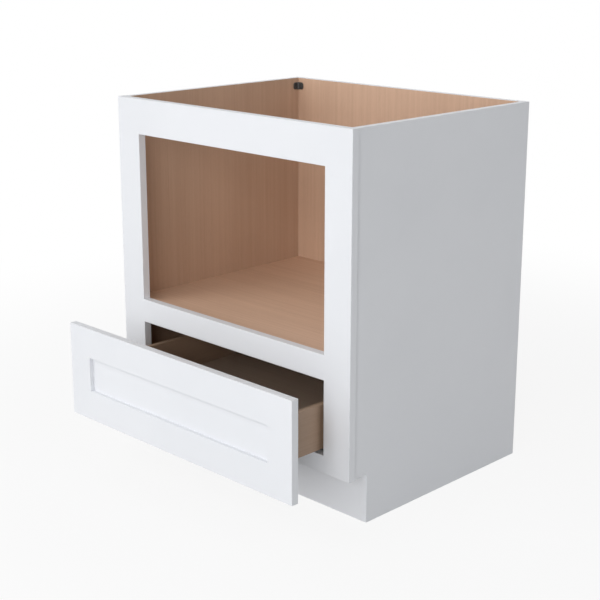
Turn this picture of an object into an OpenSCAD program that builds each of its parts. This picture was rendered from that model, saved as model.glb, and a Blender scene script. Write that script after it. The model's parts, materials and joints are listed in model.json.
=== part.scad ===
// Base cabinet for a countertop microwave: a face-frame carcass with an open bay,
// a deck under the bay and one wide drawer on full-extension undermount runners.
// Millimetres, +Z up, the front faces -Y. The origin is on the floor at the middle
// of the back, where the cabinet meets the wall.

/* [Cabinet] */
// Width across the face frame
cab_w = 762; // [686:1:914]
// Height without a worktop
cab_h = 876.3; // [860:0.1:915]
// Depth with the face frame
cab_d = 609.6; // [605:0.1:640]
// Thickness of the side panels
side_t = 16; // [15:0.5:19]
// Thickness of the back panel
back_t = 14; // [12:0.5:16]
// Thickness of the deck, the floor and the toe board
panel_t = 16; // [15:0.5:19]
// How far the face frame stands proud of each side panel
frame_lap = 3; // [0:0.5:6]
// Height of the toe space
toe_h = 114.3; // [95:0.1:120]
// How far the toe board lies behind the front of the face frame
toe_setback = 61; // [50:1:90]

/* [Face frame] */
// Thickness of the stiles and rails
frame_t = 19; // [17:0.5:22]
// Width of the stiles
stile_w = 76.2; // [60:0.1:76.2]
// Height of the top rail
rail_top_h = 84; // [50:1:100]
// Height of the rail between bay and drawer
rail_mid_h = 57.2; // [45:0.1:70]
// Height of the rail under the drawer
rail_bottom_h = 41.3; // [38:0.1:45]
// Height of the drawer opening
drawer_open_h = 172.5; // [165:0.5:190]
// Chamfer along the painted edges
edge_ease = 0.8; // [0.4:0.1:1.5]

/* [Drawer front] */
// Width of the drawer front
front_w = 756.4; // [756.4:0.1:762]
// Height of the drawer front
front_h = 230; // [225:1:240]
// Thickness of the drawer front
front_t = 19; // [18:0.5:22]
// Width of its stiles and rails
front_frame_w = 73; // [55:1:75]
// How far its centre panel is set back
front_recess = 10.2; // [8:0.1:10.5]
// Height of its lower edge above the toe space
front_reveal = 2.4; // [1:0.1:5]

/* [Drawer box] */
// Outside width of the box
box_w = 587; // [575:1:592]
// Height of the box
box_h = 104.8; // [98:0.1:112]
// Length of the box, front to back
box_d = 533.4; // [530:0.1:535]
// Thickness of the box sides, front and back
box_t = 12.7; // [12:0.1:16]
// Clear height between the bottom rail and the box
box_gap = 10.1; // [8:0.1:12]
// Dovetails at each corner
tail_count = 4; // [3:1:5]

/* [Motion] */
// Travel of the drawer from shut to full extension
travel = 520; // [480:1:520]
// How far the drawer stands open
open_now = 148.5; // [0:0.5:480]
// Turn of the release levers
lever_turn = 0; // [0:1:12]

/* [Hidden] */
$fn = 48;
left = -1;
right = 1;

// finishes
white_paint = [0.93, 0.94, 0.95];
veneer = [0.76, 0.63, 0.51];
box_wood = [0.60, 0.48, 0.39];
black_plastic = [0.10, 0.10, 0.10];
grey_plastic = [0.45, 0.47, 0.50];
zinc = [0.72, 0.74, 0.77];
ball_steel = [0.85, 0.86, 0.88];
clear_rubber = [0.85, 0.87, 0.88];

// carcass places
frame_y = -cab_d;                                // front of the face frame
frame_back = frame_y + frame_t;
side_out = cab_w / 2 - frame_lap;
side_in = side_out - side_t;
back_in = -back_t;
open_x = cab_w / 2 - stile_w;                    // half width of both openings
drawer_z0 = toe_h + rail_bottom_h;
drawer_z1 = drawer_z0 + drawer_open_h;
bay_z0 = drawer_z1 + rail_mid_h;
bay_z1 = cab_h - rail_top_h;
deck_top = bay_z0 - 6.3;
floor_top = drawer_z0 - 6.6;
toe_y = frame_y + toe_setback;
dado = 6;                                        // depth of the grooves for deck and floor
tongue_t = 10;                                   // tongue of deck and floor, under a shoulder
rabbet = 8;                                      // how far the back laps into the sides
far = 1;                                         // overrun of a cutter past a face

// drawer front and box places
shut_gap = 2;                                    // drawer front to face frame when shut
drawn = min(open_now, travel);                   // how far the drawer is pulled out
drawer_y = frame_y - shut_gap - drawn;           // back of the drawer front
front_y = drawer_y - front_t;
front_z0 = toe_h + front_reveal;
front_z1 = front_z0 + front_h;
front_in = front_w / 2 - front_frame_w;          // half width of the recess
groove_d = 9;                                    // depth of the grooves round the panel
groove_w = 6;
tongue_play = 0.5;
box_z = drawer_z0 + box_gap;
box_in = box_w / 2 - box_t;
box_top_r = 3;
bottom_t = 6;
bottom_up = 13;                                  // recess under the box bottom
bottom_groove = 6;
lap = 4.5;                                       // wood left in front of the dovetails
tail_l = box_t - lap;
tail_slope = 8;                                  // degrees

// runner section, seen from the front: widths from its middle, heights from its top
sheet = 1.5;
run_x = box_in - 20;                             // middle of the runner
run_top = box_z + bottom_up;
hat_w = 9;                                       // cabinet member: half width
mid_w = 14;                                      // middle member: half width
out_w = 19;                                      // drawer member: half width
out_drop = 12.5;
mid_top = 3.5;
mid_drop = 18.5;
hat_top = 8;
flange_w = 24;
lower_w = (hat_w + mid_w - sheet) / 2;           // middle of the lower ball gap
upper_w = (mid_w + out_w - sheet) / 2;           // middle of the upper ball gap
lower_drop = 13.5;
upper_drop = 7.5;
ball_r = 1.98;
track_r = 2.06;
ball_count = 8;
ball_pitch = 25;
cage_l = 200;
cage_t = 1.4;
cage_start = 155;                                // cage from the front of the frame, shut
hat_l = 533;
mid_l = 500;
hat_y = frame_back + 1;
mid_y = frame_y + 21 - drawn / 2;
lower_y = frame_y + cage_start - drawn / 4;
upper_y = frame_y + cage_start - drawn * 3 / 4;
out_y = drawer_y + box_t + 2;

// ---------------------------------------------------------------- helpers

// a box between two corners
module block(lo, hi) {
    translate(lo) cube([hi.x - lo.x, hi.y - lo.y, hi.z - lo.z]);
}

// mirrors a right-hand piece to the left
module on_side(s) {
    mirror([s < 0 ? 1 : 0, 0, 0]) children();
}

// rectangle with chamfers at the corners whose entry in cut is 1, counted
// anticlockwise from the lowest: [x0 y0, x1 y0, x1 y1, x0 y1]
module eased_rect(x0, y0, x1, y1, cut) {
    e = edge_ease;
    polygon(concat(
        cut[0] ? [[x0, y0 + e], [x0 + e, y0]] : [[x0, y0]],
        cut[1] ? [[x1 - e, y0], [x1, y0 + e]] : [[x1, y0]],
        cut[2] ? [[x1, y1 - e], [x1 - e, y1]] : [[x1, y1]],
        cut[3] ? [[x0 + e, y1], [x0, y1 - e]] : [[x0, y1]]
    ));
}

// runs a section of Y and Z along X, or one of X and Y along Z
module along_x(x0, x1) {
    translate([x0, 0, 0]) rotate([90, 0, 90]) linear_extrude(x1 - x0) children();
}

module along_z(z0, z1) {
    translate([0, 0, z0]) linear_extrude(z1 - z0) children();
}

// a bar set corner-on, which chamfers a stretch of upright edge
module ease_z(x, y, z0, z1) {
    translate([x, y, z0]) rotate([0, 0, 45])
        translate([-edge_ease / sqrt(2), -edge_ease / sqrt(2), 0])
            cube([edge_ease * sqrt(2), edge_ease * sqrt(2), z1 - z0]);
}

// countersunk screw: its head is flush with z = 0, its shank points to -Z
module flat_screw(shank_r, len) {
    rotate_extrude() polygon([
        [0, 0], [shank_r * 2, 0], [shank_r, -shank_r], [shank_r, -len + shank_r * 1.5],
        [0, -len]
    ]);
}

// round-head screw: its head stands on z = 0, its shank points to -Z
module round_screw(shank_r, head_r, head_h, len) {
    rotate_extrude() polygon([
        [0, head_h], [head_r * 0.55, head_h], [head_r * 0.9, head_h * 0.6], [head_r, 0],
        [shank_r, 0], [shank_r, -len + shank_r * 1.5], [0, -len]
    ]);
}

// ---------------------------------------------------------------- face frame

// chamfered at its outer front edge, at both ends and along both openings
module stile(s) {
    color(white_paint) on_side(s) difference() {
        intersection() {
            along_z(toe_h, cab_h)
                eased_rect(open_x, frame_y, cab_w / 2, frame_back, [0, 1, 0, 0]);
            along_x(open_x - far, cab_w / 2 + far)
                eased_rect(frame_y, toe_h, frame_back, cab_h, [1, 0, 0, 1]);
        }
        for (opening = [[drawer_z0, drawer_z1], [bay_z0, bay_z1]])
            ease_z(open_x, frame_y, opening[0], opening[1]);
    }
}

// pocket screws: two at each end of a rail, slanted from its back into the stile
pocket_tilt = 15;
pocket_r = 4.75;
pocket_start = 18;                               // seat of the head, from the rail's end
pocket_shank_r = 2;
pocket_screw_l = 36;
rails = [[toe_h, drawer_z0], [drawer_z1, bay_z0], [bay_z1, cab_h]];
function pocket_heights(rail) =
    let (h = rail[1] - rail[0], inset = min(16, h * 0.28)) [rail[0] + inset, rail[1] - inset];

// the axis of a pocket, pointing away from the stile
module pocket_axis(s, z) {
    on_side(s) translate([open_x, frame_y + frame_t / 2, z])
        rotate([0, 0, -pocket_tilt]) rotate([0, -90, 0]) children();
}

module rail(z0, z1) {
    color(white_paint) difference() {
        along_x(-open_x, open_x) eased_rect(frame_y, z0, frame_back, z1, [1, 0, 0, 1]);
        for (s = [left, right], z = pocket_heights([z0, z1])) pocket_axis(s, z) {
            translate([0, 0, pocket_start]) cylinder(r = pocket_r, h = 60);
            translate([0, 0, -5]) cylinder(r = pocket_shank_r + 0.2, h = pocket_start + 6);
        }
    }
}

module frame_screws() {
    color(zinc) for (r = rails, s = [left, right], z = pocket_heights(r))
        pocket_axis(s, z) translate([0, 0, pocket_start])
            round_screw(pocket_shank_r, 4.2, 2.6, pocket_screw_l);
}

// ---------------------------------------------------------------- carcass

module side_panel(s) {
    color(white_paint) on_side(s) difference() {
        translate([side_in, 0, 0]) rotate([90, 0, 90]) linear_extrude(side_t) polygon([
            [0, 0], [0, cab_h], [frame_back, cab_h], [frame_back, toe_h], [toe_y, toe_h], [toe_y, 0]
        ]);
        for (z = [deck_top, floor_top] - [panel_t, panel_t])
            block([side_in - far, frame_back - far, z], [side_in + dado, back_in, z + tongue_t]);
        block([side_in - far, back_in, -far], [side_in + rabbet, far, cab_h + far]);
    }
}

module back_panel() {
    color(veneer) block([-side_in - rabbet, back_in, 0], [side_in + rabbet, 0, cab_h]);
}

// a level panel between the sides, with a tongue let into each
module shelf(top) {
    color(veneer) {
        block([-side_in, frame_back, top - panel_t], [side_in, back_in, top]);
        block([-side_in - dado, frame_back, top - panel_t],
              [side_in + dado, back_in, top - panel_t + tongue_t]);
    }
}

module toe_board() {
    color(white_paint)
        block([-side_in, toe_y, 0], [side_in, toe_y + panel_t, floor_top - panel_t]);
}

// ---------------------------------------------------------------- corner brackets

bracket_wing = 19.5;
bracket_h = 19;
bracket_t = 2.5;
bracket_drop = 12;                               // below the top of the cabinet
bracket_cut = 4;                                 // cut corners of each wing
bracket_ridge = 3;                               // fillet in the corner
bracket_hole = 12.5;                             // screw from the corner
bracket_screw_r = 1.75;

// one wing lies on the XZ plane, its free end at +X
module bracket_wing_plate() {
    rotate([90, 0, 0]) mirror([0, 0, 1]) linear_extrude(bracket_t) polygon([
        [0, 0], [bracket_wing - bracket_cut, 0], [bracket_wing, bracket_cut],
        [bracket_wing, bracket_h - bracket_cut], [bracket_wing - bracket_cut, bracket_h],
        [0, bracket_h]
    ]);
}

// the two screw places of a bracket, -Z into the panel
module bracket_screw_places() {
    translate([bracket_hole, bracket_t, bracket_h / 2]) rotate([-90, 0, 0]) children();
    translate([bracket_t, bracket_hole, bracket_h / 2]) rotate([0, 90, 0]) children();
}

// corner at the origin, wings along +X and +Y
module bracket() {
    difference() {
        union() {
            bracket_wing_plate();
            mirror([1, -1, 0]) bracket_wing_plate();
            linear_extrude(bracket_h) polygon([
                [0, 0], [bracket_t + bracket_ridge, 0],
                [bracket_t + bracket_ridge, bracket_t], [bracket_t, bracket_t + bracket_ridge],
                [0, bracket_t + bracket_ridge]
            ]);
        }
        bracket_screw_places() rotate_extrude() polygon([
            [0, far], [bracket_screw_r * 2 + far, far], [bracket_screw_r * 2, 0],
            [bracket_screw_r + 0.1, -bracket_screw_r + 0.1],
            [bracket_screw_r + 0.1, -bracket_t - far], [0, -bracket_t - far]
        ]);
    }
}

// moves a bracket into one of the four top corners
module in_corner(s, front) {
    on_side(s) translate([side_in, front ? frame_back : back_in, cab_h - bracket_drop - bracket_h])
        rotate([0, 0, 180]) mirror([0, front ? 1 : 0, 0]) children();
}

module corner_bracket(s, front) {
    color(black_plastic) in_corner(s, front) bracket();
}

module bracket_screws() {
    color(zinc) for (s = [left, right], front = [false, true])
        in_corner(s, front) bracket_screw_places() flat_screw(bracket_screw_r, 13);
}

// ---------------------------------------------------------------- drawer front

groove_y0 = front_y + front_recess;
groove_y1 = groove_y0 + groove_w;

module front_stile(s) {
    color(white_paint) on_side(s) difference() {
        intersection() {
            along_z(front_z0, front_z1)
                eased_rect(front_in, front_y, front_w / 2, drawer_y, [0, 1, 1, 0]);
            along_x(front_in - far, front_w / 2 + far)
                eased_rect(front_y, front_z0, drawer_y, front_z1, [1, 1, 1, 1]);
        }
        block([front_in - far, groove_y0, front_z0 - far],
              [front_in + groove_d, groove_y1, front_z1 + far]);
        ease_z(front_in, front_y, front_z0 + front_frame_w, front_z1 - front_frame_w);
    }
}

// a rail drawn as the lower one: stub tenons fill the stiles' grooves, and a groove
// in its upper edge takes the panel
module front_rail_lower() {
    z1 = front_z0 + front_frame_w;
    difference() {
        union() {
            along_x(-front_in, front_in)
                eased_rect(front_y, front_z0, drawer_y, z1, [1, 1, 0, 1]);
            block([-front_in - groove_d, groove_y0, front_z0],
                  [front_in + groove_d, groove_y1, z1]);
        }
        block([-front_in - groove_d - far, groove_y0, z1 - groove_d],
              [front_in + groove_d + far, groove_y1, z1 + far]);
    }
}

module front_rail(upper) {
    middle = (front_z0 + front_z1) / 2;
    color(white_paint) translate([0, 0, middle]) mirror([0, 0, upper ? 1 : 0])
        translate([0, 0, -middle]) front_rail_lower();
}

module front_panel() {
    reach = groove_d - tongue_play;
    z0 = front_z0 + front_frame_w;
    z1 = front_z1 - front_frame_w;
    color(white_paint) {
        block([-front_in, groove_y0, z0], [front_in, drawer_y, z1]);
        block([-front_in - reach, groove_y0, z0 - reach], [front_in + reach, groove_y1, z1 + reach]);
    }
}

front_screw_x = 180;
front_screw_z = [box_z + 38, box_z + 88];
front_screw_r = 2;

module front_screw_places() {
    for (x = [-front_screw_x, front_screw_x], z = front_screw_z)
        translate([x, drawer_y + box_t, z]) rotate([-90, 0, 0]) children();
}

module front_screws() {
    color(zinc) front_screw_places() round_screw(front_screw_r, 5.5, 2.6, box_t + 6.5);
}

bumper_r = 4.75;
bumper_t = 1.6;

module front_bumpers() {
    color(clear_rubber) for (x = [-1, 1] * (front_w / 2 - 16), z = [front_z0 + 16, front_z1 - 10])
        translate([x, drawer_y, z]) rotate([-90, 0, 0]) rotate_extrude() polygon([
            [0, 0], [bumper_r, 0], [bumper_r, bumper_t * 0.35], [bumper_r * 0.85, bumper_t * 0.75],
            [bumper_r * 0.55, bumper_t], [0, bumper_t]
        ]);
}

// ---------------------------------------------------------------- drawer box

// section of a box board: thickness along X, its two upper edges rounded
module board_section() {
    square([box_t, box_h - box_top_r]);
    translate([box_top_r, 0]) square([box_t - 2 * box_top_r, box_h]);
    for (x = [box_top_r, box_t - box_top_r]) translate([x, box_h - box_top_r]) circle(box_top_r);
}

// dovetails in side view: Y from the box's front face, Z from its lower edge.
// Each tail is wide at its tip and narrow at its shoulder, where Y is box_t.
tail_pitch = box_h / tail_count;
tail_tip = tail_pitch * 0.74;
tail_root = tail_tip - 2 * tail_l * tan(tail_slope);

module tails() {
    for (i = [0 : tail_count - 1]) {
        z = (i + 0.5) * tail_pitch;
        polygon([
            [lap, z - tail_tip / 2], [lap, z + tail_tip / 2],
            [box_t, z + tail_root / 2], [box_t, z - tail_root / 2]
        ]);
    }
}

// what the pins take away from the end of a side
module pins() {
    difference() {
        translate([lap - far, -far]) square([tail_l + far, box_h + 2 * far]);
        tails();
    }
}

// places a side-view outline through the thickness of the right side, at either end
module at_end(rear) {
    translate([box_in, rear ? drawer_y + box_d : drawer_y, box_z])
        mirror([0, rear ? 1 : 0, 0]) rotate([90, 0, 90]) linear_extrude(box_t) children();
}

module bottom_space() {
    z0 = box_z + bottom_up;
    block([-box_in - bottom_groove, drawer_y + box_t - bottom_groove, z0],
          [box_in + bottom_groove, drawer_y + box_d - box_t + bottom_groove, z0 + bottom_t]);
}

module drawer_side(s) {
    color(box_wood) on_side(s) difference() {
        translate([box_in, drawer_y + box_d - lap, box_z]) rotate([90, 0, 0])
            linear_extrude(box_d - 2 * lap) board_section();
        for (rear = [false, true]) at_end(rear) pins();
        block([box_in - far, drawer_y, box_z + bottom_up],
              [box_in + bottom_groove, drawer_y + box_d, box_z + bottom_up + bottom_t]);
    }
}

// the front and back of the box: sockets for the tails and a groove for the bottom
module end_board(rear) {
    difference() {
        translate([-box_w / 2, rear ? drawer_y + box_d - box_t : drawer_y, box_z])
            rotate([90, 0, 90]) linear_extrude(box_w) board_section();
        for (s = [left, right]) on_side(s) at_end(rear) tails();
        bottom_space();
    }
}

module drawer_box_front() {
    color(box_wood) difference() {
        end_board(false);
        front_screw_places() translate([0, 0, -box_t - far])
            cylinder(r = front_screw_r + 0.4, h = box_t + 2 * far);
    }
}

hook_r = 2.7;
hook_up = 17;                                    // hook above the runner
hook_in = 9;                                     // how far it reaches into the back

module drawer_box_back() {
    y1 = drawer_y + box_d;
    color(box_wood) difference() {
        end_board(true);
        for (s = [left, right]) on_side(s) {
            block([run_x - out_w - 2, y1 - box_t - far, box_z - far], [box_in, y1 + far, run_top]);
            translate([run_x, y1 + far, run_top + hook_up]) rotate([90, 0, 0])
                cylinder(r = hook_r + 0.3, h = hook_in + 1.5 + far);
        }
    }
}

module drawer_bottom() {
    color(box_wood) bottom_space();
}

// ---------------------------------------------------------------- runners

// a section drawn across the runner, X from its middle and Y from its top, run along Y
module run_section(s, y0, len) {
    on_side(s) translate([run_x, y0 + len, run_top]) rotate([90, 0, 0])
        linear_extrude(len) children();
}

// inverted channel of bent sheet: outer half width, top and lower edge
module channel(w, top, drop) {
    difference() {
        translate([-w, -drop]) square([2 * w, drop - top]);
        translate([-w + sheet, -drop - far]) square([2 * (w - sheet), drop - top - sheet + far]);
    }
}

module track(w, drop) {
    for (u = [-w, w]) translate([u, -drop]) circle(track_r);
}

floor_drop = run_top - floor_top;                // height of the runner over the floor
runner_screw_y = [40, 250, 470];
runner_screw_r = 2;
flange_mid = (hat_w + flange_w) / 2;

module runner_screw_places(s) {
    for (y = runner_screw_y) on_side(s)
        translate([run_x - flange_mid, hat_y + y, floor_top + sheet]) children();
}

// fixed member: a hat section with flanges on the cabinet floor
module runner_cabinet(s) {
    color(zinc) difference() {
        run_section(s, hat_y, hat_l) difference() {
            union() {
                channel(hat_w, hat_top, floor_drop);
                for (u = [-flange_w, hat_w]) translate([u, -floor_drop])
                    square([flange_w - hat_w, sheet]);
            }
            track(lower_w, lower_drop);
        }
        runner_screw_places(s) translate([0, 0, -sheet - far])
            cylinder(r = runner_screw_r + 0.3, h = sheet + 2 * far);
    }
}

module runner_middle(s) {
    color(zinc) run_section(s, mid_y, mid_l) difference() {
        channel(mid_w, mid_top, mid_drop);
        track(lower_w, lower_drop);
        track(upper_w, upper_drop);
    }
}

lever_y = out_y + 42;                            // pivot of the release lever
lever_x = run_x - 27;
lever_arm = 26;
lever_z0 = run_top - 9.5;
lever_z1 = run_top - 4;
window_play = 0.7;
tooth_l = 6;

module runner_drawer(s) {
    len = drawer_y + box_d + 0.4 - out_y;
    color(zinc) {
        difference() {
            run_section(s, out_y, len) difference() {
                channel(out_w, 0, out_drop);
                track(upper_w, upper_drop);
            }
            on_side(s) block(
                [run_x - out_w - far, lever_y - lever_arm + 2 - window_play, lever_z0 - window_play],
                [run_x - out_w + sheet + far, lever_y - lever_arm + 2 + tooth_l + window_play,
                 lever_z1 + window_play]);
        }
        // hook behind the back of the box
        on_side(s) {
            block([run_x - 6, drawer_y + box_d + 0.4, run_top - sheet],
                  [run_x + 6, drawer_y + box_d + 0.4 + sheet, run_top + hook_up + 5]);
            translate([run_x, drawer_y + box_d + 0.5, run_top + hook_up]) rotate([90, 0, 0])
                cylinder(r = hook_r, h = hook_in + 0.5);
        }
    }
}

// cage: two strips joined by a bridge, with a pocket for each ball
module cage(s, y0, w, top, bottom, bridge, row) {
    color(grey_plastic) difference() {
        run_section(s, y0, cage_l) {
            for (u = [-w, w]) translate([u - cage_t / 2, -bottom]) square([cage_t, bottom - top]);
            translate([-w, -top - bridge]) square([2 * w, bridge]);
        }
        for (i = [0 : ball_count - 1]) on_side(s)
            translate([run_x - w - 2, y0 + (i + 0.5) * ball_pitch, run_top - row])
                rotate([0, 90, 0]) cylinder(r = ball_r + 0.2, h = 2 * w + 4);
    }
}

module balls(s, y0, w, row) {
    color(ball_steel) for (i = [0 : ball_count - 1], u = [-w, w]) on_side(s)
        translate([run_x + u, y0 + (i + 0.5) * ball_pitch, run_top - row]) sphere(ball_r);
}

module cage_lower(s) {
    cage(s, lower_y, lower_w, 5.9, 16.5, 1.2, lower_drop);
}

module cage_upper(s) {
    cage(s, upper_y, upper_w, 2, 11, 1, upper_drop);
}

// ---------------------------------------------------------------- rear brackets

tongue_l = 46;
plate_t = 4;
plate_w = 20;
plate_h = 52;
rear_screw_z = [37, 47];
gusset_l = 18;
gusset_h = 10;
rear_screw_r = 2;

module rear_screw_places(s) {
    for (z = rear_screw_z) on_side(s)
        translate([run_x, back_in - plate_t, floor_top + z]) rotate([90, 0, 0]) children();
}

// a tongue plugs into the tail of the fixed member and a plate screws to the back
module runner_bracket(s) {
    y0 = back_in - plate_t;
    tongue_w = hat_w - sheet - 0.3;
    tongue_h = floor_drop - hat_top - sheet - 0.3;
    color(grey_plastic) difference() {
        on_side(s) {
            block([run_x - tongue_w, y0 - tongue_l, floor_top],
                  [run_x + tongue_w, y0, floor_top + tongue_h]);
            block([run_x - plate_w, y0, floor_top],
                  [run_x + plate_w, back_in, floor_top + plate_h]);
            translate([run_x - 2, y0, floor_top + tongue_h]) rotate([90, 0, 90])
                linear_extrude(4) polygon([[0, 0], [-gusset_l, 0], [0, gusset_h]]);
        }
        rear_screw_places(s) translate([0, 0, -plate_t - far])
            cylinder(r = rear_screw_r + 0.3, h = plate_t + 2 * far);
    }
}

module runner_screws() {
    color(zinc) for (s = [left, right]) {
        runner_screw_places(s) round_screw(runner_screw_r, 3.6, 1.8, 14);
        rear_screw_places(s) round_screw(rear_screw_r, 3.8, 2, plate_t + 11);
    }
}

// ---------------------------------------------------------------- locking devices

lock_w = 24;
lock_y1 = 68;
lock_t = 2.5;
pivot_r = 2;
pivot_play = 0.08;
pivot_seat = 0.3;                                // gap between the lever and the boss over it
lock_screw_r = 1.6;

module lock_screw_places(s) {
    for (p = [[-8, 14], [-18, 60]]) on_side(s)
        translate([run_x - out_w + p.x, out_y + p.y, run_top - lock_t])
            rotate([180, 0, 0]) children();
}

// a plate under the box bottom with a guide wall and the pin of the lever
module locking_device(s) {
    x1 = run_x - out_w - 0.4;
    color(grey_plastic) difference() {
        on_side(s) {
            block([x1 - lock_w, out_y, run_top - lock_t], [x1, out_y + lock_y1, run_top]);
            block([x1 - lock_w, out_y, run_top - 11.5], [x1, out_y + 3, run_top - lock_t]);
            block([x1 - 2, out_y + 3, run_top - 11.5], [x1, out_y + 12, run_top - lock_t]);
            block([x1 - 2, out_y + 54, run_top - 11.5], [x1, out_y + lock_y1, run_top - lock_t]);
            translate([lever_x, lever_y, run_top - 11]) cylinder(r = pivot_r, h = 11 - lock_t);
            translate([lever_x, lever_y, lever_z1 + pivot_seat])
                cylinder(r = 3.6, h = run_top - lock_t - lever_z1 - pivot_seat);
        }
        lock_screw_places(s) translate([0, 0, -lock_t - far])
            cylinder(r = lock_screw_r + 0.2, h = lock_t + 2 * far);
    }
}

module locking_screws() {
    color(zinc) for (s = [left, right])
        lock_screw_places(s) round_screw(lock_screw_r, 3, 1.2, lock_t + 5);
}

// the tooth holds the drawer member, and the finger tab swings it clear
module release_lever(s) {
    color(black_plastic) on_side(s) translate([lever_x, lever_y, lever_z0])
        rotate([0, 0, -lever_turn]) linear_extrude(lever_z1 - lever_z0) difference() {
            union() {
                circle(4.5);
                translate([-2.5, -lever_arm]) square([5, lever_arm]);
                translate([0, 2 - lever_arm])
                    square([run_x - out_w + 1 - lever_x, tooth_l]);
                translate([-15, -lever_arm]) square([15, 5]);
                translate([-15, -lever_arm + 2.5]) circle(2.5);
            }
            circle(pivot_r + pivot_play);
        }
}

// ---------------------------------------------------------------- nodes

stile(left);  // stile_left
stile(right);  // stile_right
rail(rails[0][0], rails[0][1]);  // rail_bottom
rail(rails[1][0], rails[1][1]);  // rail_middle
rail(rails[2][0], rails[2][1]);  // rail_top
side_panel(left);  // side_left
side_panel(right);  // side_right
back_panel();
shelf(deck_top);  // microwave_deck
shelf(floor_top);  // cabinet_floor
toe_board();
corner_bracket(left, false);  // corner_bracket_back_left
corner_bracket(right, false);  // corner_bracket_back_right
corner_bracket(left, true);  // corner_bracket_front_left
corner_bracket(right, true);  // corner_bracket_front_right
bracket_screws();
frame_screws();
runner_cabinet(left);  // runner_cabinet_left
runner_cabinet(right);  // runner_cabinet_right
runner_bracket(left);  // runner_bracket_left
runner_bracket(right);  // runner_bracket_right
runner_screws();
drawer_side(left);  // drawer_side_left
drawer_side(right);  // drawer_side_right
drawer_box_front();
drawer_box_back();
drawer_bottom();
front_stile(left);  // front_stile_left
front_stile(right);  // front_stile_right
front_rail(false);  // front_rail_bottom
front_rail(true);  // front_rail_top
front_panel();
front_screws();
front_bumpers();
runner_drawer(left);  // runner_drawer_left
runner_drawer(right);  // runner_drawer_right
locking_device(left);  // locking_device_left
locking_device(right);  // locking_device_right
locking_screws();
release_lever(left);  // release_lever_left
release_lever(right);  // release_lever_right
runner_middle(left);  // runner_middle_left
runner_middle(right);  // runner_middle_right
cage_lower(left);  // cage_lower_left
cage_lower(right);  // cage_lower_right
cage_upper(left);  // cage_upper_left
cage_upper(right);  // cage_upper_right
balls(left, lower_y, lower_w, lower_drop);  // balls_lower_left
balls(right, lower_y, lower_w, lower_drop);  // balls_lower_right
balls(left, upper_y, upper_w, upper_drop);  // balls_upper_left
balls(right, upper_y, upper_w, upper_drop);  // balls_upper_right
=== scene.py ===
import bmesh
import bpy
import json
import math
import numpy as np
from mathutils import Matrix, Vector


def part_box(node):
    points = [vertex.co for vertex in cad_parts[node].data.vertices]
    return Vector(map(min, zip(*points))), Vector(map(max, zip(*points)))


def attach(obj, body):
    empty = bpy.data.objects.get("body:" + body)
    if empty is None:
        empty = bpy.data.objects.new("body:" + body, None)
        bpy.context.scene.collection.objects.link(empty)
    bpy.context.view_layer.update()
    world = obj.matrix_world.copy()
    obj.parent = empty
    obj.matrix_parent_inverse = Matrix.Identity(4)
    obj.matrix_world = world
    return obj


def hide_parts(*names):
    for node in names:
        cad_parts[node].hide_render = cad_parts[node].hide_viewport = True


# Looks of a microwave base cabinet: painted face frame, veneered carcass, one wide drawer.
# Metres, +Z up, the front faces -Y, the origin is on the floor at the middle of the back.

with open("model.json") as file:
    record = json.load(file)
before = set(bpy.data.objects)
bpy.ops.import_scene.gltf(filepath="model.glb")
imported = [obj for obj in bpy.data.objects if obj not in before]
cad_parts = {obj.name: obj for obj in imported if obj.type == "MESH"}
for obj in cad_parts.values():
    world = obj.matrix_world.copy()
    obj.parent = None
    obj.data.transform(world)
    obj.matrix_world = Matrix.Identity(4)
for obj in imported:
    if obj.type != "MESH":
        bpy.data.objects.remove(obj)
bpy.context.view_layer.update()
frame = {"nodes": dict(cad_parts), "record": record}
nodes = frame["nodes"]
members = frame["record"]["behaviour"]["bodies"]
bodyOf = {node: body for body in members for node in members[body]}


# small node helpers

def feed(tree, socket, value):
    if isinstance(value, bpy.types.NodeSocket):
        tree.links.new(value, socket)
    elif isinstance(value, tuple) and socket.type == "RGBA":
        socket.default_value = (*value, 1.0)
    else:
        socket.default_value = value


def mathNode(tree, operation, first, second=0.0):
    node = tree.nodes.new("ShaderNodeMath")
    node.operation = operation
    feed(tree, node.inputs[0], first)
    feed(tree, node.inputs[1], second)
    return node.outputs[0]


# eases value from low..high to toLow..toHigh
def spread(tree, value, low, high, toLow=0.0, toHigh=1.0):
    node = tree.nodes.new("ShaderNodeMapRange")
    node.interpolation_type = "SMOOTHSTEP"
    for socket, number in zip(list(node.inputs)[:5], (value, low, high, toLow, toHigh)):
        feed(tree, socket, number)
    return node.outputs[0]


def mixColour(tree, factor, first, second):
    node = tree.nodes.new("ShaderNodeMix")
    node.data_type = "RGBA"
    feed(tree, node.inputs[0], factor)
    feed(tree, node.inputs[6], first)     # its sockets 6 and 7 take the two colours
    feed(tree, node.inputs[7], second)
    return node.outputs[2]


def mixNumber(tree, factor, first, second):
    node = tree.nodes.new("ShaderNodeMix")
    feed(tree, node.inputs[0], factor)
    feed(tree, node.inputs[2], first)     # its sockets 2 and 3 take the two numbers
    feed(tree, node.inputs[3], second)
    return node.outputs[0]


noiseSpan = (0.3, 0.7)                # most of a noise lies between these two
grainTilt = (0.013, 0.009, 0.011)     # radians; grain is never quite true


def noise(tree, spot, scale=1.0, detail=3.0, roughness=0.5, distortion=0.0):
    node = tree.nodes.new("ShaderNodeTexNoise")
    tree.links.new(spot, node.inputs["Vector"])
    node.inputs["Scale"].default_value = scale
    node.inputs["Detail"].default_value = detail
    node.inputs["Roughness"].default_value = roughness
    node.inputs["Distortion"].default_value = distortion
    return node.outputs[0]


# noise squeezed across the grain and drawn out along it, each in cycles per metre
def grainNoise(tree, spot, cycles, grain, **settings):
    across, along = cycles
    node = tree.nodes.new("ShaderNodeMapping")
    node.inputs["Scale"].default_value = [along if axis == grain else across for axis in "XYZ"]
    node.inputs["Rotation"].default_value = grainTilt
    tree.links.new(spot, node.inputs["Vector"])
    return noise(tree, node.outputs[0], **settings)


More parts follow.
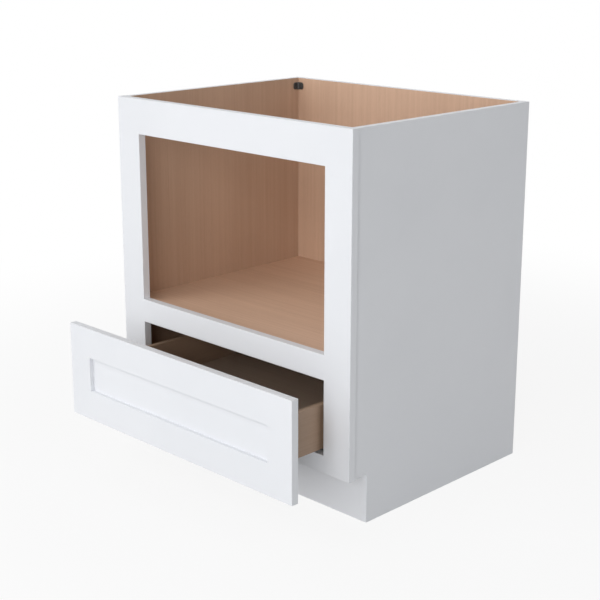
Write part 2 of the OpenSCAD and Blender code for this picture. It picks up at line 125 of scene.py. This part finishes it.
def objectSpot(tree):
    return tree.nodes.new("ShaderNodeTexCoord").outputs["Object"]


def coordinate(tree, spot, axis):
    node = tree.nodes.new("ShaderNodeSeparateXYZ")
    tree.links.new(spot, node.inputs[0])
    return node.outputs[axis]


def newMaterial(name, **constants):
    material = bpy.data.materials.new(name)
    material.use_nodes = True
    shader = material.node_tree.nodes["Principled BSDF"]
    for socket, value in constants.items():
        feed(material.node_tree, shader.inputs[socket.replace("_", " ")], value)
    return material, material.node_tree, shader


# links a finish, which is a colour, a roughness and a height, to the shader
def dress(tree, shader, finish, depth):
    colour, roughness, height = finish
    feed(tree, shader.inputs["Base Color"], colour)
    feed(tree, shader.inputs["Roughness"], roughness)
    relief = tree.nodes.new("ShaderNodeBump")
    relief.inputs["Distance"].default_value = depth
    tree.links.new(height, relief.inputs["Height"])
    tree.links.new(relief.outputs[0], shader.inputs["Normal"])


# surfaces worked out on grids

weldGap = 1e-6                        # metres; points closer than this are one


# eases the numbers 0..1 as a whole array, flat at both ends
def eased(value):
    value = np.clip(value, 0.0, 1.0)
    return value * value * (3.0 - 2.0 * value)


# one four-cornered face for each cell of a grid whose points are counted row by row;
# the last column joins the first
def gridFaces(rows, columns, start):
    row, column = np.meshgrid(np.arange(rows - 1), np.arange(columns), indexing="ij")
    here = start + row * columns + column
    beside = start + row * columns + (column + 1) % columns
    return np.stack([here, beside, beside + columns, here + columns], axis=-1).reshape(-1, 4)


# makes one piece of several closed grids, each rows x columns x 3, that stands for a node:
# merges poles and seams, fills open ends, turns the faces outwards and keeps edges sharp where
# they turn by more than crease degrees
def makePiece(name, grids, crease, finish, node):
    spots = np.concatenate([grid.reshape(-1, 3) for grid in grids])
    starts = np.cumsum([0] + [grid.shape[0] * grid.shape[1] for grid in grids])
    faces = np.concatenate([
        gridFaces(grid.shape[0], grid.shape[1], start) for grid, start in zip(grids, starts)
    ])
    mesh = bpy.data.meshes.new(name)
    mesh.vertices.add(len(spots))
    mesh.vertices.foreach_set("co", spots.ravel())
    mesh.loops.add(faces.size)
    mesh.loops.foreach_set("vertex_index", faces.ravel())
    mesh.polygons.add(len(faces))
    mesh.polygons.foreach_set("loop_start", np.arange(len(faces)) * 4)
    mesh.update(calc_edges=True)
    work = bmesh.new()
    work.from_mesh(mesh)
    bmesh.ops.remove_doubles(work, verts=work.verts, dist=weldGap)
    bmesh.ops.holes_fill(work, edges=[edge for edge in work.edges if edge.is_boundary])
    bmesh.ops.recalc_face_normals(work, faces=work.faces)
    work.to_mesh(mesh)
    work.free()
    mesh.shade_smooth()
    mesh.set_sharp_from_angle(angle=math.radians(crease))
    piece = bpy.data.objects.new(name, mesh)
    bpy.context.scene.collection.objects.link(piece)
    mesh.materials.append(finish)
    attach(piece, bodyOf[node])
    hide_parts(node)


# the corners of each separate solid in a node: triangles that share a corner take its lowest
# number, again and again, until nothing changes
def solidsOf(node):
    mesh = nodes[node].data
    mesh.calc_loop_triangles()
    spots = np.empty(len(mesh.vertices) * 3)
    mesh.vertices.foreach_get("co", spots)
    corners = np.empty(len(mesh.loop_triangles) * 3, dtype=np.int32)
    mesh.loop_triangles.foreach_get("vertices", corners)
    spots = spots.reshape(-1, 3)
    merged, owner = np.unique(np.round(spots, 6), axis=0, return_inverse=True)    # to a micrometre
    owner = owner.ravel()
    corners = owner[corners].reshape(-1, 3)
    label = np.arange(len(merged))
    settled = False
    while not settled:
        lowest = label.copy()
        np.minimum.at(lowest, corners.ravel(), np.repeat(label[corners].min(axis=1), 3))
        settled = np.array_equal(lowest, label)
        label = lowest
    return [merged[label == one] for one in np.unique(label)]


# the axis of a turned solid, pointing out of its wide end, the middle of that end, and its
# length: of the three directions of its spread, the axis is the odd one out
def turnedAxis(corners):
    middle = corners.mean(axis=0)
    sizes, directions = np.linalg.eigh(np.cov((corners - middle).T))
    axis = directions[:, 2] if sizes[2] - sizes[1] > sizes[1] - sizes[0] else directions[:, 0]
    along = (corners - middle) @ axis
    away = np.linalg.norm(corners - middle - np.outer(along, axis), axis=1)
    if along[np.argmax(away)] < 0:
        axis, along = -axis, -along
    return axis, middle + along.max() * axis, along.max() - along.min()


# camera, floor and light

photoCamera = {
    "azimuth": 44.872,                # degrees, from the front towards the cabinet's right side
    "elevation": 14.999,
    "place": (2.07372, -2.47068, 1.24938),
    "focalPixels": 1270.57,
    "axisPixel": (295.79, 275.22),    # where the lens axis meets the picture
    "picture": 600,
    "sensor": 36.0,                   # millimetres
    "clip": (0.05, 200.0),
}


# unit vector out of the cabinet, in degrees: azimuth 0 leaves its front, 90 its right side
def fromFront(azimuth, elevation):
    azimuth, elevation = math.radians(azimuth), math.radians(elevation)
    level = math.cos(elevation)
    return Vector((math.sin(azimuth) * level, -math.cos(azimuth) * level, math.sin(elevation)))


def setCamera(look):
    lens = bpy.data.cameras.new("photoLens")
    camera = bpy.data.objects.new("photoCamera", lens)
    bpy.context.scene.collection.objects.link(camera)
    camera.location = look["place"]
    backwards = fromFront(look["azimuth"], look["elevation"])
    camera.rotation_euler = backwards.to_track_quat("Z", "Y").to_euler()
    lens.sensor_width = look["sensor"]
    lens.lens = look["focalPixels"] / look["picture"] * look["sensor"]
    lens.shift_x = 0.5 - look["axisPixel"][0] / look["picture"]
    lens.shift_y = look["axisPixel"][1] / look["picture"] - 0.5
    lens.clip_start, lens.clip_end = look["clip"]
    bpy.context.scene.camera = camera


studio = {
    "aim": (0.0, -0.30, 0.42),
    "boxDistance": 14.0,
    "boxSize": 7.0,
    "softBoxes": {                    # azimuth, elevation, power
        "boxFront": (0.0, 35.0, 258.0),
        "boxRight": (28.0, 15.0, 800.0),
        "boxLeft": (-28.0, 15.0, 345.0),
        "boxLeftHigh": (-28.0, 45.0, 397.0),
        "boxSideRight": (88.0, 20.0, 195.0),
        "boxSideLeft": (-88.0, 35.0, 100.0),
        "boxRearRight": (150.0, 40.0, 75.0),
        "boxRearLeft": (-150.0, 40.0, 200.0),
    },
    "skyColour": (0.975, 0.99, 1.0),
    "skyStrength": 0.175,
    "paper": (1.0, 1.0, 1.0),         # the background where it is seen directly
    "floorHalf": 40.0,
    "floorColour": (0.70, 0.70, 0.70),
    "floorRoughness": 0.9,
    "floorSpecular": 0.1,
    "floorShow": 0.11,                # share of the real shading that shows near the cabinet
    "floorFade": (0.8, 2.2),          # metres from the cabinet over which it gives way to white
}


# 1 for camera, glossy and transmission rays, 0 for the light that falls on the object
def seenDirectly(tree):
    rays = tree.nodes.new("ShaderNodeLightPath")
    seen = mathNode(tree, "ADD", rays.outputs["Is Camera Ray"], rays.outputs["Is Glossy Ray"])
    return mathNode(tree, "MINIMUM", mathNode(tree, "ADD", seen, rays.outputs["Is Transmission Ray"]), 1.0)


def setSky(look):
    sky = bpy.data.worlds.new("studioSky")
    sky.use_nodes = True
    bpy.context.scene.world = sky
    tree = sky.node_tree
    shader = tree.nodes["Background"]
    seen = seenDirectly(tree)
    feed(tree, shader.inputs["Color"], mixColour(tree, seen, look["skyColour"], look["paper"]))
    feed(tree, shader.inputs["Strength"], mixNumber(tree, seen, look["skyStrength"], 1.0))


def setSoftBoxes(look):
    for name, (azimuth, elevation, power) in look["softBoxes"].items():
        lamp = bpy.data.lights.new(name, "AREA")
        lamp.size = look["boxSize"]
        lamp.energy = power
        softBox = bpy.data.objects.new(name, lamp)
        bpy.context.scene.collection.objects.link(softBox)
        outward = fromFront(azimuth, elevation)
        softBox.location = Vector(look["aim"]) + look["boxDistance"] * outward
        softBox.rotation_euler = outward.to_track_quat("Z", "Y").to_euler()


# a sheet that shows white paper where it is seen directly, with a share of its real shading
# near the cabinet
def setFloor(look):
    half = look["floorHalf"]
    mesh = bpy.data.meshes.new("studioFloor")
    corners = [(-half, -half, 0), (half, -half, 0), (half, half, 0), (-half, half, 0)]
    mesh.from_pydata(corners, [], [(0, 1, 2, 3)])
    ground = bpy.data.objects.new("studioFloor", mesh)
    bpy.context.scene.collection.objects.link(ground)
    material, tree, shader = newMaterial(
        "paleFloor", Base_Color=look["floorColour"], Roughness=look["floorRoughness"],
        Specular_IOR_Level=look["floorSpecular"],
    )
    paper = tree.nodes.new("ShaderNodeEmission")
    feed(tree, paper.inputs["Color"], look["paper"])
    spot = objectSpot(tree)
    reach = tree.nodes.new("ShaderNodeVectorMath")
    reach.operation = "LENGTH"
    tree.links.new(spot, reach.inputs[0])
    near = spread(tree, reach.outputs["Value"], *look["floorFade"], look["floorShow"], 0.0)
    share = mathNode(tree, "MULTIPLY", seenDirectly(tree), mathNode(tree, "SUBTRACT", 1.0, near))
    blend = tree.nodes.new("ShaderNodeMixShader")
    tree.links.new(share, blend.inputs[0])
    tree.links.new(shader.outputs[0], blend.inputs[1])
    tree.links.new(paper.outputs[0], blend.inputs[2])
    tree.links.new(blend.outputs[0], tree.nodes["Material Output"].inputs["Surface"])
    mesh.materials.append(material)


bpy.context.scene.view_settings.view_transform = "Standard"
setCamera(photoCamera)
setSky(studio)
setSoftBoxes(studio)
setFloor(studio)
print("camera, soft boxes, sky and floor set")


# painted wood

paint = {
    "light": (0.782, 0.796, 0.826),
    "shade": (0.762, 0.777, 0.808),
    "roughness": (0.40, 0.50),
    "cloud": 3.1,                     # cycles per metre, as the next three
    "smear": 46.0,
    "peel": 620.0,
    "board": (260.0, 6.0),            # the wood's grain under the paint, across and along
    "boardShare": 0.45,
    "contrast": (0.35, 0.65),
    "ior": 1.48,
    "depth": 0.00012,
}


# sprayed paint: a slow cloud of two whites, smears of gloss, and orange peel over the grain
def paintFinish(tree, spot, grain):
    cloud = noise(tree, spot, paint["cloud"])
    colour = mixColour(tree, spread(tree, cloud, *paint["contrast"]), paint["light"], paint["shade"])
    sheen = spread(tree, noise(tree, spot, paint["smear"]), *noiseSpan, *paint["roughness"])
    peel = noise(tree, spot, paint["peel"], detail=1.5)
    board = grainNoise(tree, spot, paint["board"], grain, roughness=0.6)
    return colour, sheen, mixNumber(tree, paint["boardShare"], peel, board)


def paintedBoard(name, grain):
    material, tree, shader = newMaterial(name, IOR=paint["ior"])
    dress(tree, shader, paintFinish(tree, objectSpot(tree), grain), paint["depth"])
    return material


# wood

maple = {
    "light": (0.590, 0.400, 0.286),
    "dark": (0.512, 0.339, 0.237),
    "pore": (0.385, 0.243, 0.162),
    "endGrain": (0.430, 0.290, 0.205),
    "roughness": (0.42, 0.56),
    "poreShare": 0.30,
    "depth": 0.00012,
}

drawerWood = {
    "light": (0.412, 0.286, 0.201),
    "dark": (0.362, 0.247, 0.172),
    "pore": (0.250, 0.163, 0.110),
    "endGrain": (0.270, 0.180, 0.122),
    "roughness": (0.38, 0.52),
    "poreShare": 0.25,
    "depth": 0.00012,
}

insideLitTone = (1.07, 1.22, 1.37)        # the box's ends and bottom wear a paler, greyer copy of its wood: painted light for the inside of the drawer

woodGrain = {
    "bands": (11.0, 0.5),             # cycles per metre across and along the grain, as the next three
    "streaks": (120.0, 1.1),
    "lines": (560.0, 3.2),
    "pores": (1300.0, 48.0),
    "streakShare": 0.46,
    "lineShare": 0.30,
    "contrast": (0.34, 0.66),
    "poreSpan": (0.58, 0.74),
    "sawnSpan": (0.6, 0.9),           # how squarely a face has to cut the grain to be an end
    "sawnShare": 0.75,
    "ior": 1.5,
}


# the same wood, lighter or darker, or with another tone for each of red, green and blue
def toned(wood, tone):
    tones = np.broadcast_to(tone, 3)
    shades = {key: tuple(float(part) for part in tones * wood[key])
              for key in ("light", "dark", "pore", "endGrain")}
    return {**wood, **shades}


# sum of slow bands, streaks and fine lines along the grain, with short dark pores on top
def woodFinish(tree, spot, grain, wood):
    bands = grainNoise(tree, spot, woodGrain["bands"], grain, roughness=0.55, distortion=0.3)
    streaks = grainNoise(
        tree, spot, woodGrain["streaks"], grain, detail=4.0, roughness=0.6, distortion=0.12,
    )
    lines = grainNoise(tree, spot, woodGrain["lines"], grain, roughness=0.55)
    tone = mixNumber(tree, woodGrain["streakShare"], bands, streaks)
    tone = mixNumber(tree, woodGrain["lineShare"], tone, lines)
    colour = mixColour(tree, spread(tree, tone, *woodGrain["contrast"]), wood["light"], wood["dark"])
    pores = grainNoise(tree, spot, woodGrain["pores"], grain, detail=1.0)
    pores = spread(tree, pores, *woodGrain["poreSpan"])
    shown = mathNode(tree, "MULTIPLY", pores, wood["poreShare"])
    colour = mixColour(tree, shown, colour, wood["pore"])
    facing = tree.nodes.new("ShaderNodeTexCoord").outputs["Normal"]
    across = mathNode(tree, "ABSOLUTE", coordinate(tree, facing, grain))
    sawn = spread(tree, across, *woodGrain["sawnSpan"])
    sawn = mathNode(tree, "MULTIPLY", sawn, woodGrain["sawnShare"])
    colour = mixColour(tree, sawn, colour, wood["endGrain"])
    sheen = spread(tree, tone, *noiseSpan, *wood["roughness"])
    height = mathNode(tree, "SUBTRACT", mixNumber(tree, 0.5, streaks, lines), pores)
    return colour, sheen, height


def woodBoard(name, grain, wood):
    material, tree, shader = newMaterial(name, IOR=woodGrain["ior"])
    dress(tree, shader, woodFinish(tree, objectSpot(tree), grain, wood), wood["depth"])
    return material


panelFacing = {"veneer": 0.0003, "topPaint": 0.0006}    # metres of veneer inside and paint on top
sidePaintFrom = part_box("side_right")[0][0] + panelFacing["veneer"]
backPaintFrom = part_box("back_panel")[1][2] - panelFacing["topPaint"]


# veneer on its faces and paint beyond limit metres along the axis, from the middle of the
# cabinet out to either side, or from the floor up
def facedPanel(name, axis, limit, wood):
    material, tree, shader = newMaterial(name, IOR=(paint["ior"] + woodGrain["ior"]) / 2)
    spot = objectSpot(tree)
    away = mathNode(tree, "ABSOLUTE", coordinate(tree, spot, axis))
    outside = mathNode(tree, "GREATER_THAN", away, limit)
    painted = paintFinish(tree, spot, "Z")
    veneered = woodFinish(tree, spot, "Z", wood)
    finish = (
        mixColour(tree, outside, veneered[0], painted[0]),
        mixNumber(tree, outside, veneered[1], painted[1]),
        mixNumber(tree, outside, veneered[2], painted[2]),
    )
    dress(tree, shader, finish, paint["depth"])
    return material


# metal, plastic and rubber

zincSteel = {
    "light": (0.74, 0.75, 0.76),
    "dark": (0.58, 0.60, 0.62),
    "roughness": (0.27, 0.42),
    "contrast": (0.25, 0.75),
    "spangle": 130.0,                 # crystal patches, cycles per metre
    "mottle": 75.0,
    "rolled": (1400.0, 9.0),          # rolling lines, across and along
    "depth": 0.00006,
}


# zinc plate: dull crystal patches under fine rolling lines
def zincMaterial(name, grain):
    material, tree, shader = newMaterial(name, Metallic=1.0)
    spot = objectSpot(tree)
    spangle = tree.nodes.new("ShaderNodeTexVoronoi")
    spangle.inputs["Scale"].default_value = zincSteel["spangle"]
    tree.links.new(spot, spangle.inputs["Vector"])
    patch = spangle.outputs["Color"]
    mottle = mixNumber(tree, 0.5, noise(tree, spot, zincSteel["mottle"]), coordinate(tree, patch, "X"))
    rolled = grainNoise(tree, spot, zincSteel["rolled"], grain, detail=2.0)
    dulled = spread(tree, mottle, *zincSteel["contrast"])
    colour = mixColour(tree, dulled, zincSteel["light"], zincSteel["dark"])
    sheen = spread(tree, mixNumber(tree, 0.5, mottle, rolled), *noiseSpan, *zincSteel["roughness"])
    dress(tree, shader, (colour, sheen, rolled), zincSteel["depth"])
    return material


blackNylon = {"light": (0.054, 0.053, 0.052), "dark": (0.040, 0.040, 0.040), "roughness": (0.24, 0.33)}
greyNylon = {"light": (0.29, 0.30, 0.32), "dark": (0.24, 0.25, 0.27), "roughness": (0.40, 0.55)}
moulding = {"flow": 55.0, "skin": 1900.0, "ior": 1.53, "depth": 0.00008}


# moulded nylon: a fine leathery skin with faint flow marks
def mouldedPlastic(name, nylon):
    material, tree, shader = newMaterial(name, IOR=moulding["ior"])
    spot = objectSpot(tree)
    flow = noise(tree, spot, moulding["flow"])
    skin = noise(tree, spot, moulding["skin"], detail=1.0)
    sheen = spread(tree, mixNumber(tree, 0.5, flow, skin), *noiseSpan, *nylon["roughness"])
    colour = mixColour(tree, spread(tree, flow, *noiseSpan), nylon["light"], nylon["dark"])
    dress(tree, shader, (colour, sheen, skin), moulding["depth"])
    return material


ballSteel = {                         # polished, under a thin film of grease
    "clean": (0.82, 0.83, 0.84), "clouded": (0.66, 0.65, 0.61), "contrast": (0.4, 0.7),
    "roughness": (0.08, 0.22), "cloud": 420.0, "depth": 0.00001,
}
blackenedSteel = {                    # a thin phosphate coat, a little lighter where it is rubbed
    "clean": (0.12, 0.12, 0.125), "clouded": (0.22, 0.22, 0.225), "contrast": (0.4, 0.75),
    "roughness": (0.34, 0.50), "cloud": 700.0, "depth": 0.00003,
}
softVinyl = {
    "clean": (0.93, 0.95, 0.96), "clouded": (0.86, 0.89, 0.90), "contrast": (0.3, 0.7),
    "roughness": (0.12, 0.26), "cloud": 260.0, "depth": 0.00004,
}


# one fine cloud drives the colour, the sheen and the relief of a small part
def cloudedMaterial(name, look, **constants):
    material, tree, shader = newMaterial(name, **constants)
    cloud = noise(tree, objectSpot(tree), look["cloud"])
    colour = mixColour(tree, spread(tree, cloud, *look["contrast"]), look["clean"], look["clouded"])
    sheen = spread(tree, cloud, *noiseSpan, *look["roughness"])
    dress(tree, shader, (colour, sheen, cloud), look["depth"])
    return material


finishes = {
    "paintUpright": paintedBoard("paintUpright", "Z"),
    "paintLevel": paintedBoard("paintLevel", "X"),
    # lighter and darker copies of one maple: painted light on the deck (1.22) and the back (1.04), painted
    # shade on the sides' veneer (0.92) and on the floor under the deck (0.70)
    "deckVeneerLit": woodBoard("deckVeneerLit", "X", toned(maple, 1.22)),
    "floorVeneerShaded": woodBoard("floorVeneerShaded", "X", toned(maple, 0.70)),
    "sideFacedShaded": facedPanel("sideFacedShaded", "X", sidePaintFrom, toned(maple, 0.92)),
    "backFacedLit": facedPanel("backFacedLit", "Z", backPaintFrom, toned(maple, 1.04)),
    "drawerAlong": woodBoard("drawerAlong", "Y", drawerWood),
    # a lighter, greyer copy of the drawer wood, painted light inside the drawer
    "drawerAcross": woodBoard("drawerAcross", "X", toned(drawerWood, insideLitTone)),
    "zinc": zincMaterial("zinc", "Y"),
    "blackPlastic": mouldedPlastic("blackPlastic", blackNylon),
    "greyPlastic": mouldedPlastic("greyPlastic", greyNylon),
    "balls": cloudedMaterial("balls", ballSteel, Metallic=1.0),
    "clearRubber": cloudedMaterial("clearRubber", softVinyl, IOR=1.42, Transmission_Weight=0.45),
    "darkSteel": cloudedMaterial("darkSteel", blackenedSteel, Metallic=0.7),
}

wears = {                             # how the names of the nodes that wear each finish start
    "paintUpright": ["stile_", "front_stile_"],
    "paintLevel": ["rail_", "toe_board", "front_rail_", "front_panel"],
    "sideFacedShaded": ["side_"],
    "backFacedLit": ["back_panel"],
    "deckVeneerLit": ["microwave_deck"],
    "floorVeneerShaded": ["cabinet_floor"],
    "drawerAlong": ["drawer_side_"],
    "drawerAcross": ["drawer_box_", "drawer_bottom"],
    "zinc": [
        "bracket_screws", "frame_screws", "runner_screws", "front_screws", "locking_screws",
        "runner_cabinet_", "runner_middle_", "runner_drawer_",
    ],
    "blackPlastic": ["corner_bracket_", "release_lever_"],
    "greyPlastic": ["runner_bracket_", "locking_device_", "cage_"],
    "balls": ["balls_"],
    "clearRubber": ["front_bumpers"],
}


def nodesNamed(starts):
    return [name for name in nodes if name.startswith(tuple(starts))]


for finish, starts in wears.items():
    for node in nodesNamed(starts):
        nodes[node].data.materials.clear()
        nodes[node].data.materials.append(finishes[finish])
dressed = [node for starts in wears.values() for node in nodesNamed(starts)]
undressed = sorted(set(nodes) - set(dressed))
print("finishes:", len(finishes), "dressed nodes:", len(dressed), "undressed:", undressed)


# screws, each with a cross recess and a thread

screw = {
    "columns": 32,                    # points round the screw
    "gather": 0.6,                    # how far they crowd towards the four arms of the cross
    "headRings": 15,
    "ringsPerPitch": 6,
    "armHalf": 0.13,                  # half width of an arm, in head radii, as the next three
    "armLength": 0.56,
    "armRunOut": 0.14,
    "recessDepth": 0.40,
    "wallSlope": 0.3,                 # of the recess, in half widths either way
    "neckRings": 4,
    "underRim": 0.98,                 # the first of them, 0 at the shank and 1 at the rim
    "threadStart": 0.0008,            # metres under the head
    "threadRunIn": 0.001,
    "root": 0.74,                     # bottom of the thread, in shank radii
    "point": 1.5,                     # length of the tip, in shank radii
    "turnStep": 137.5,                # degrees from one screw to the next, so no two line up
    "crease": 40,                     # degrees
}

screwKinds = {                        # metres; a flat head has no height above its seat
    "bracket_screws": {"shank": 0.00175, "head": 0.0035, "rise": 0.0, "pitch": 0.0015},
    "frame_screws": {"shank": 0.0020, "head": 0.0042, "rise": 0.0026, "pitch": 0.0018},
    "runner_screws": {"shank": 0.0020, "head": 0.0037, "rise": 0.0019, "pitch": 0.0018},
    "front_screws": {"shank": 0.0020, "head": 0.0055, "rise": 0.0026, "pitch": 0.0018},
    "locking_screws": {"shank": 0.0016, "head": 0.0030, "rise": 0.0012, "pitch": 0.0013},
}


# radius and height of rings from the middle of the head down to the tip. A round head falls
# from its middle as the root of one less the fourth power of the radius, a flat one is level
# and tapers under its rim. The thread is a rounded ridge that moves on by one pitch a turn.
def screwRings(kind, length, turn):
    reach = np.sin(np.linspace(0.0, math.pi / 2, screw["headRings"]))
    head = kind["head"] * reach
    top = kind["rise"] * np.sqrt(np.clip(1.0 - reach ** 4, 0.0, 1.0))
    seat = 0.0 if kind["rise"] else kind["shank"] - kind["head"]
    under = np.linspace(screw["underRim"], 0.0, screw["neckRings"])
    neck = kind["shank"] + (kind["head"] - kind["shank"]) * under
    neckZ = seat * (1.0 - under)
    tip = kind["rise"] - length
    taper = screw["point"] * kind["shank"]
    count = int((seat - tip) / kind["pitch"] * screw["ringsPerPitch"])
    shankZ = np.linspace(seat, tip, count)[1:]
    radius = np.concatenate([head, neck, np.full(len(shankZ), kind["shank"])])[:, None]
    height = np.concatenate([top, neckZ, shankZ])[:, None] + 0.0 * turn
    phase = height / kind["pitch"] - turn / (2 * math.pi)
    ridge = (0.5 + 0.5 * np.cos(2 * math.pi * phase)) ** 2
    cut = eased((seat - screw["threadStart"] - height) / screw["threadRunIn"])
    thread = 1.0 - (1.0 - screw["root"]) * cut * (1.0 - ridge)
    point = np.clip((height - tip) / taper, 0.0, 1.0)
    radius = radius * thread * np.where(height < seat - weldGap, point, 1.0)
    return radius, height


# grid of one screw: x and y from its rings, and a cross pressed into the top of the head where
# the smaller of x and y is within an arm's half width and the larger within its length
def screwGrid(kind, corners, order):
    axis, top, length = turnedAxis(corners)
    turn = np.linspace(0.0, 2 * math.pi, screw["columns"], endpoint=False)[None, :]
    turn = turn - screw["gather"] * np.sin(4 * turn) / 4
    radius, height = screwRings(kind, length, turn)
    x, y = np.abs(radius * np.cos(turn)), np.abs(radius * np.sin(turn))
    slope = screw["wallSlope"] * screw["armHalf"]
    side = (screw["armHalf"] + slope - np.minimum(x, y) / kind["head"]) / (2 * slope)
    end = (screw["armLength"] - np.maximum(x, y) / kind["head"]) / screw["armRunOut"]
    pressed = eased(side) * eased(end) * screw["recessDepth"] * kind["head"]
    pressed[screw["headRings"]:] = 0.0
    turn = turn + math.radians(screw["turnStep"]) * order
    slanted = [0.0, 0.0, 1.0] if abs(axis[2]) < 0.9 else [1.0, 0.0, 0.0]    # well off the axis
    aside = np.cross(axis, slanted)
    aside /= np.linalg.norm(aside)
    other = np.cross(axis, aside)
    flatX, flatY = radius * np.cos(turn), radius * np.sin(turn)
    rise = height - kind["rise"] - pressed
    return top + flatX[..., None] * aside + flatY[..., None] * other + rise[..., None] * axis


for node, kind in screwKinds.items():
    solids = solidsOf(node)
    grids = [screwGrid(kind, corners, order) for order, corners in enumerate(solids)]
    finish = finishes["darkSteel" if node == "bracket_screws" else "zinc"]
    makePiece(node + "_threaded", grids, screw["crease"], finish, node)
    print("screws:", node, len(grids))


# corner brackets: two wings and a ridge in the corner, moulded in one

bracket = {
    "thickness": 0.0025,
    "cut": 0.004,                     # cut corners of each wing
    "ridge": 0.003,                   # flat across the inside of the corner
    "rim": 0.0009,                    # rounding of the outer edges
    "rimShare": 0.55,                 # what is left of the thickness at the very edge
    "hole": 0.0125,                   # screw from the corner
    "dish": 0.0037,                   # radius of the countersink
    "ring": 0.0016,                   # width of the raised ring round it
    "ringRise": 0.0004,
    "ringBlend": 0.0005,
    "rows": 34,
    "columns": 30,                    # along each face
    "backStep": 3,                    # the flat back takes every third of them
    "crease": 32,                     # degrees
}


# outline of an L in plan at each height: along the back of one wing, round its end, along its
# face to the ridge, and the same mirrored. A wing is shorter near its cut corners, and its
# thickness is a quarter round at the edges plus a ring round the screw.
def bracketGrid(node):
    low, high = (np.array(corner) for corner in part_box(node))
    wing, tall = high[0] - low[0], high[2] - low[2]
    halfTurn = math.pi * np.linspace(0.0, 1.0, bracket["rows"])[:, None]
    level = tall * (0.5 - 0.5 * np.cos(halfTurn))
    edge = np.minimum(level, tall - level)
    reach = wing - np.clip(bracket["cut"] - edge, 0.0, bracket["cut"])
    start = bracket["thickness"] + bracket["ridge"]
    share = np.linspace(0.0, 1.0, bracket["columns"])[None, :]
    back = share[:, ::bracket["backStep"]] * reach
    face = start + (reach - start) * np.cos(share * math.pi / 2)
    inset = np.clip(np.minimum(edge, reach - face) / bracket["rim"], 0.0, 1.0)
    quarter = np.sqrt(1.0 - (1.0 - inset) ** 2)
    away = np.hypot(face - bracket["hole"], level - tall / 2)
    fromRing = np.abs(away - bracket["dish"] - bracket["ring"] / 2)
    ring = eased((bracket["ring"] / 2 - fromRing) / bracket["ringBlend"])
    swell = bracket["rimShare"] + (1.0 - bracket["rimShare"]) * quarter
    thick = bracket["thickness"] * swell + bracket["ringRise"] * ring
    atRidge = np.full_like(level, (start + bracket["thickness"]) / 2)
    along = np.concatenate([back, face, atRidge], axis=1)
    across = np.concatenate([0.0 * back, thick, atRidge], axis=1)
    plan = np.concatenate([
        np.stack([along, across, level + 0.0 * along], axis=-1),
        np.stack([across, along, level + 0.0 * along], axis=-1)[:, -2:0:-1],
    ], axis=1)
    outward = np.sign(low[0] + high[0]), 1.0 if "back" in node else -1.0
    corner = np.array([
        high[0] if outward[0] > 0 else low[0], high[1] if outward[1] > 0 else low[1], low[2],
    ])
    return corner + plan * [-outward[0], -outward[1], 1.0]


for node in nodesNamed(["corner_bracket_"]):
    makePiece(node + "_moulded", [bracketGrid(node)], bracket["crease"], finishes["blackPlastic"], node)
print("corner brackets moulded")


# bumpers: soft domes on the back of the drawer front

bumper = {"rings": 14, "columns": 32, "brim": 0.18, "crease": 45}


# dome turned round the Y axis: its height is the square root of one less the third power of
# the radius, over a short upright brim
def bumperGrid(corners):
    low, high = corners.min(axis=0), corners.max(axis=0)
    radius, rise = (high[0] - low[0]) / 2, high[1] - low[1]
    share = np.sin(np.linspace(0.0, math.pi / 2, bumper["rings"]))
    dome = bumper["brim"] + (1.0 - bumper["brim"]) * np.sqrt(np.clip(1.0 - share ** 3, 0.0, 1.0))
    share = np.concatenate([share, [1.0, 0.0]])[:, None] * radius
    dome = np.concatenate([dome, [0.0, 0.0]])[:, None] * rise
    turn = np.linspace(0.0, 2 * math.pi, bumper["columns"], endpoint=False)[None, :]
    middle = [(low[0] + high[0]) / 2, low[1], (low[2] + high[2]) / 2]
    turned = [share * np.cos(turn), dome + 0.0 * turn, share * np.sin(turn)]
    return np.stack(turned, axis=-1) + middle


bumperGrids = [bumperGrid(corners) for corners in solidsOf("front_bumpers")]
makePiece(
    "front_bumpers_domed", bumperGrids, bumper["crease"], finishes["clearRubber"], "front_bumpers",
)
print("bumpers:", len(bumperGrids))


# eased edges on the sawn, bent and moulded parts

easing = {
    "widths": {                       # metres, by how the nodes' names start
        "side_": 0.0007,
        "back_panel": 0.0006,
        "microwave_deck": 0.0006,
        "cabinet_floor": 0.0006,
        "toe_board": 0.0006,
        "drawer_side_": 0.0003,
        "drawer_box_": 0.0003,
        "runner_cabinet_": 0.0006,
        "runner_middle_": 0.0006,
        "runner_drawer_": 0.0006,
        "runner_bracket_": 0.0005,
        "locking_device_": 0.0005,
        "release_lever_": 0.0006,
    },
    "segments": 3,
    "flatWithin": 0.5,                # degrees; faces closer than this become one
    "sharperThan": 31.0,              # degrees
}


# joins the loose triangles, merges the flat ones into whole faces and rounds the sharp edges
def easeEdges(node, width):
    part = nodes[node]
    weld = part.modifiers.new("weld", "WELD")
    weld.merge_threshold = weldGap
    flat = part.modifiers.new("flat", "DECIMATE")
    flat.decimate_type = "DISSOLVE"
    flat.angle_limit = math.radians(easing["flatWithin"])
    ease = part.modifiers.new("ease", "BEVEL")
    ease.width = width
    ease.segments = easing["segments"]
    ease.limit_method = "ANGLE"
    ease.angle_limit = math.radians(easing["sharperThan"])
    ease.harden_normals = True


easedCount = 0
for start, width in easing["widths"].items():
    for node in nodesNamed([start]):
        easeEdges(node, width)
        easedCount += 1
print("edges eased:", easedCount)
